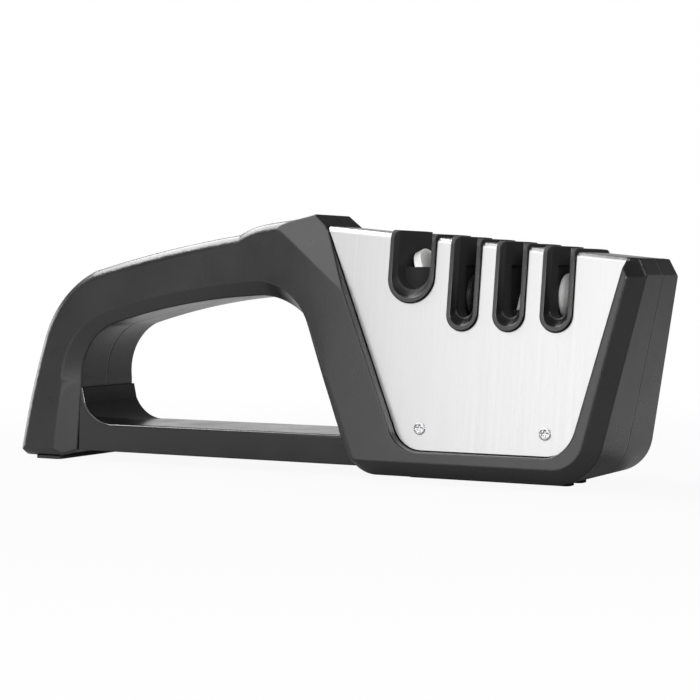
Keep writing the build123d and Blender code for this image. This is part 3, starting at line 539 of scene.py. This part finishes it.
def abrasive_wheel(name, node, material, body, side, grit, seed):
    """A ring x = along, (y, z) = r * (cos t, sin t) over the profile (along, r), with grit pressed
    into its working faces as a random depth."""
    low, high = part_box(node)
    axle_z = (low[2] + high[2]) / 2
    radius = (high[2] - low[2]) / 2
    inner = low[0] if side > 0 else high[0]
    cone = (high[0] - low[0]) - wheel_rim
    corners = [
        (0.0, wheel_bore),
        (0.0, wheel_hub),
        (cone - wheel_edge, radius - wheel_edge * 2),
        (cone + wheel_edge, radius),
        (cone + wheel_rim - wheel_edge, radius),
        (cone + wheel_rim, radius - wheel_edge),
        (cone + wheel_rim, wheel_bore),
    ]
    profile = along_profile(corners, profile_step)
    angle = np.linspace(0.0, 2 * np.pi, wheel_columns, endpoint=False)
    noise = np.random.default_rng(seed).random((len(profile), wheel_columns))
    outer = (profile[:, 1] > wheel_hub)[:, None]
    r = profile[:, 1][:, None] - np.where(outer, noise * grit, 0.0)
    x = inner + side * np.repeat(profile[:, 0][:, None], wheel_columns, axis=1)
    points = np.stack([x, r * np.cos(angle), axle_z + r * np.sin(angle)], axis=-1)
    faces = grid_faces(len(profile), wheel_columns, True)
    if side < 0:
        faces = faces[:, ::-1]
    piece = add_surface(name, points, faces, material, body)
    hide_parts(node)


def grit_finish(name, dark, light, rough, grains, strength, metallic=0.0):
    """Abrasive: a cell pattern, each cell with its own tone and sheen, as fine specks."""
    material, tree, shader = new_finish(name, {"Metallic": metallic})
    place = add_node(tree, "ShaderNodeTexCoord")
    specks = add_node(tree, "ShaderNodeTexVoronoi", {"Scale": grains, "Randomness": 1.0})
    shade = add_node(tree, "ShaderNodeSeparateColor")
    join(
        tree,
        (place.outputs["Object"], specks.inputs["Vector"]),
        (specks.outputs["Color"], shade.inputs["Color"]),
    )
    tint(tree, shade.outputs["Red"], dark, light, shader.inputs["Base Color"])
    spread(tree, shade.outputs["Green"], rough - 0.1, rough + 0.1, shader.inputs["Roughness"])
    relief(tree, specks.outputs["Distance"], strength, speck_depth, shader, speck_edge)
    return material


coarse_grit = grit_finish(
    "coarse_grit", dark=(0.02, 0.02, 0.02), light=(0.09, 0.09, 0.09), rough=0.55, grains=5000.0, strength=0.8,
    metallic=0.4,
)
fine_ceramic = grit_finish(
    "fine_ceramic", dark=(0.86, 0.86, 0.85), light=(0.93, 0.93, 0.92), rough=0.35, grains=9000.0, strength=0.2
)
axle_steel = steel_finish(
    "axle_steel", dark=(0.55, 0.55, 0.56), light=(0.7, 0.7, 0.7), rough=0.28, lines=4000.0, strength=0.15
)
wheel_pairs = {
    "coarse": (coarse_grit, "coarse_abrasive", 0.00006),
    "fine": (fine_ceramic, "fine_ceramic", 0.00001),
}
for pair, (abrasive, abrasive_slot, grit_size) in wheel_pairs.items():
    roller = f"{pair}_roller"
    for seed, (hand, side) in enumerate((("left", -1), ("right", 1))):
        wheel = f"{pair}_wheel_{hand}"
        abrasive_wheel(wheel + "_grit", wheel, abrasive, roller, side, grit_size, seed)
    dress(f"{pair}_axle", axle_steel)

# Carbide blades: two small plates of sintered carbide, ground flat and crossed one behind the
# other, so that a knife's edge is drawn through their fork. Their feet stand in the holder.
carbide_metal = steel_finish(
    "carbide_metal", dark=(0.88, 0.89, 0.90), light=(0.95, 0.96, 0.97), rough=0.48, lines=7000.0, strength=0.2
)
for blade in ("carbide_blade_front", "carbide_blade_rear"):
    finished(blade, carbide_metal)

# Scissors stone: a pale disc of sintered ceramic that leans in the wide channel. It is set in the
# ledge below it, and a blade of the scissors is drawn along it.
stone_ceramic = grit_finish(
    "stone_ceramic", dark=(0.84, 0.84, 0.83), light=(0.93, 0.93, 0.92), rough=0.4, grains=8000.0, strength=0.3
)
finished("scissors_stone", stone_ceramic)

# Screws: plated steel with low round heads, a cross recess and a rolled thread. Four small ones
# hold the steel to the halves. The others hold the halves, the base plate and the rail's plug.
screw_columns = 36
dome_rows = 22
dome_start = 0.05
dome_share = 0.35
arm_half_share = 0.15
arm_reach_share = 0.62
recess_share = 0.8
side_slope = 0.5
side_start = 0.8
end_slope = 1.5
end_start = 0.5
pitch_share = 0.75
thread_share = 0.2
rows_for_turn = 8
tip_share = 0.35


def spin_rows(radius, height, columns):
    """Points (r cos t, r sin t, z) of rows of radii and heights, one column for each turn."""
    t = np.linspace(0.0, 2 * np.pi, columns, endpoint=False)
    return np.stack([radius * np.cos(t), radius * np.sin(t), height + 0.0 * radius * t], axis=-1)


def screw_shape(head_radius, head_height, shank_radius, reach):
    """A screw on its seat plane. Head: z = h - c (r / R)^4 less a cross recess. Shank: the radius is
    s - d saw(z / pitch - turn), and it narrows to a blunt tip."""
    pitch = shank_radius * pitch_share
    across = np.concatenate([[0.0], np.linspace(dome_start, 1.0, dome_rows)])[:, None] * head_radius
    t = np.linspace(0.0, 1.0, screw_columns, endpoint=False)[None, :]
    dome = head_height - head_height * dome_share * (across / head_radius) ** 4
    top = spin_rows(across + 0.0 * t, dome, screw_columns)
    arm_half = head_radius * arm_half_share
    arm_reach = head_radius * arm_reach_share

    def in_arm(a, b):
        """1 inside one arm of the cross, falling to 0 over its sloping walls."""
        side = np.clip((arm_half - np.abs(a)) / (arm_half * side_slope) + side_start, 0.0, 1.0)
        end = np.clip((arm_reach - np.abs(b)) / (arm_half * end_slope) + end_start, 0.0, 1.0)
        return side * end

    recess = np.maximum(in_arm(top[..., 0], top[..., 1]), in_arm(top[..., 1], top[..., 0]))
    top[..., 2] -= head_height * recess_share * recess
    down = np.linspace(0.0, 1.0, int(reach / pitch * rows_for_turn))[:, None]
    z = -down * reach
    thread = shank_radius * (1.0 - thread_share * np.mod(z / pitch - t, 1.0))
    narrowing = np.clip((1.0 - down) * rows_for_turn + tip_share, 0.0, 1.0)
    shank = spin_rows(thread * narrowing, z, screw_columns)
    rim = spin_rows(head_radius + 0.0 * t, np.zeros((1, 1)), screw_columns)
    tip = spin_rows(0.0 * t, np.full((1, 1), -reach), screw_columns)
    return np.concatenate([top, rim, shank, tip])


def screw_set(node, seats, shape, material):
    """One shape of screw over several seats, each an origin and an outward direction."""
    points = []
    faces = []
    rows, columns, _ = shape.shape
    for number, (origin, outward) in enumerate(seats):
        turn = np.array(Vector(outward).to_track_quat("Z", "Y").to_matrix())
        points.append(shape.reshape(-1, 3) @ turn.T + np.array(origin))
        faces.append(grid_faces(rows, columns, False) + number * rows * columns)
    all_points = np.concatenate(points)
    all_faces = np.concatenate(faces)
    piece = add_surface(node + "_turned", all_points, all_faces, material, "body")
    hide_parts(node)


screw_steel = steel_finish(
    "screw_steel", dark=(0.40, 0.40, 0.41), light=(0.56, 0.56, 0.57), rough=0.24, lines=3000.0, strength=0.15
)
small_radius = 0.0017
small_height = 0.0005
small_shank = 0.001
small_reach = 0.007
steel_lean = 0.15
lean_length = math.hypot(1.0, steel_lean)
low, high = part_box("cover_screws")
seat_y = high[1] - (small_height + small_radius * steel_lean) / lean_length
seat_z = high[2] - (small_height * steel_lean + small_radius) / lean_length
cover_seats = [
    ((x, side * seat_y, seat_z), (0.0, side, steel_lean))
    for x in (low[0] + small_radius, high[0] - small_radius)
    for side in (-1, 1)
]
small_screw = screw_shape(small_radius, small_height, small_shank, small_reach)
screw_set("cover_screws", cover_seats, small_screw, screw_steel)
head_radius = 0.0023
head_height = 0.0012
shank_radius = 0.00125
short_reach = 0.009
long_reach = 0.021
short_screw = screw_shape(head_radius, head_height, shank_radius, short_reach)
for node in ("base_screws", "foot_screws"):
    low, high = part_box(node)
    seats = [
        ((x, y, low[2] + head_height), (0.0, 0.0, -1.0))
        for x in sorted({round(low[0] + head_radius, 5), round(high[0] - head_radius, 5)})
        for y in (low[1] + head_radius, high[1] - head_radius)
    ]
    screw_set(node, seats, short_screw, screw_steel)
low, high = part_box("shell_screws")
shell_seats = [
    ((x, high[1] - head_height, (low[2] + high[2]) / 2), (0.0, 1.0, 0.0))
    for x in (low[0] + head_radius, high[0] - head_radius)
]
long_screw = screw_shape(head_radius, head_height, shank_radius, long_reach)
screw_set("shell_screws", shell_seats, long_screw, screw_steel)

# Base plate and pads: a black moulded plate closes the underside of the head. Soft rubber pads
# below the leg and the head stand on the table.
dress("base_plate", shell_plastic)
pad_rubber = plastic_finish(
    "pad_rubber", dark=0.014, light=0.022, rough=0.78, grains=1800.0, strength=0.5
)
for pad in ("foot_pad", "head_pads"):
    finished(pad, pad_rubber)
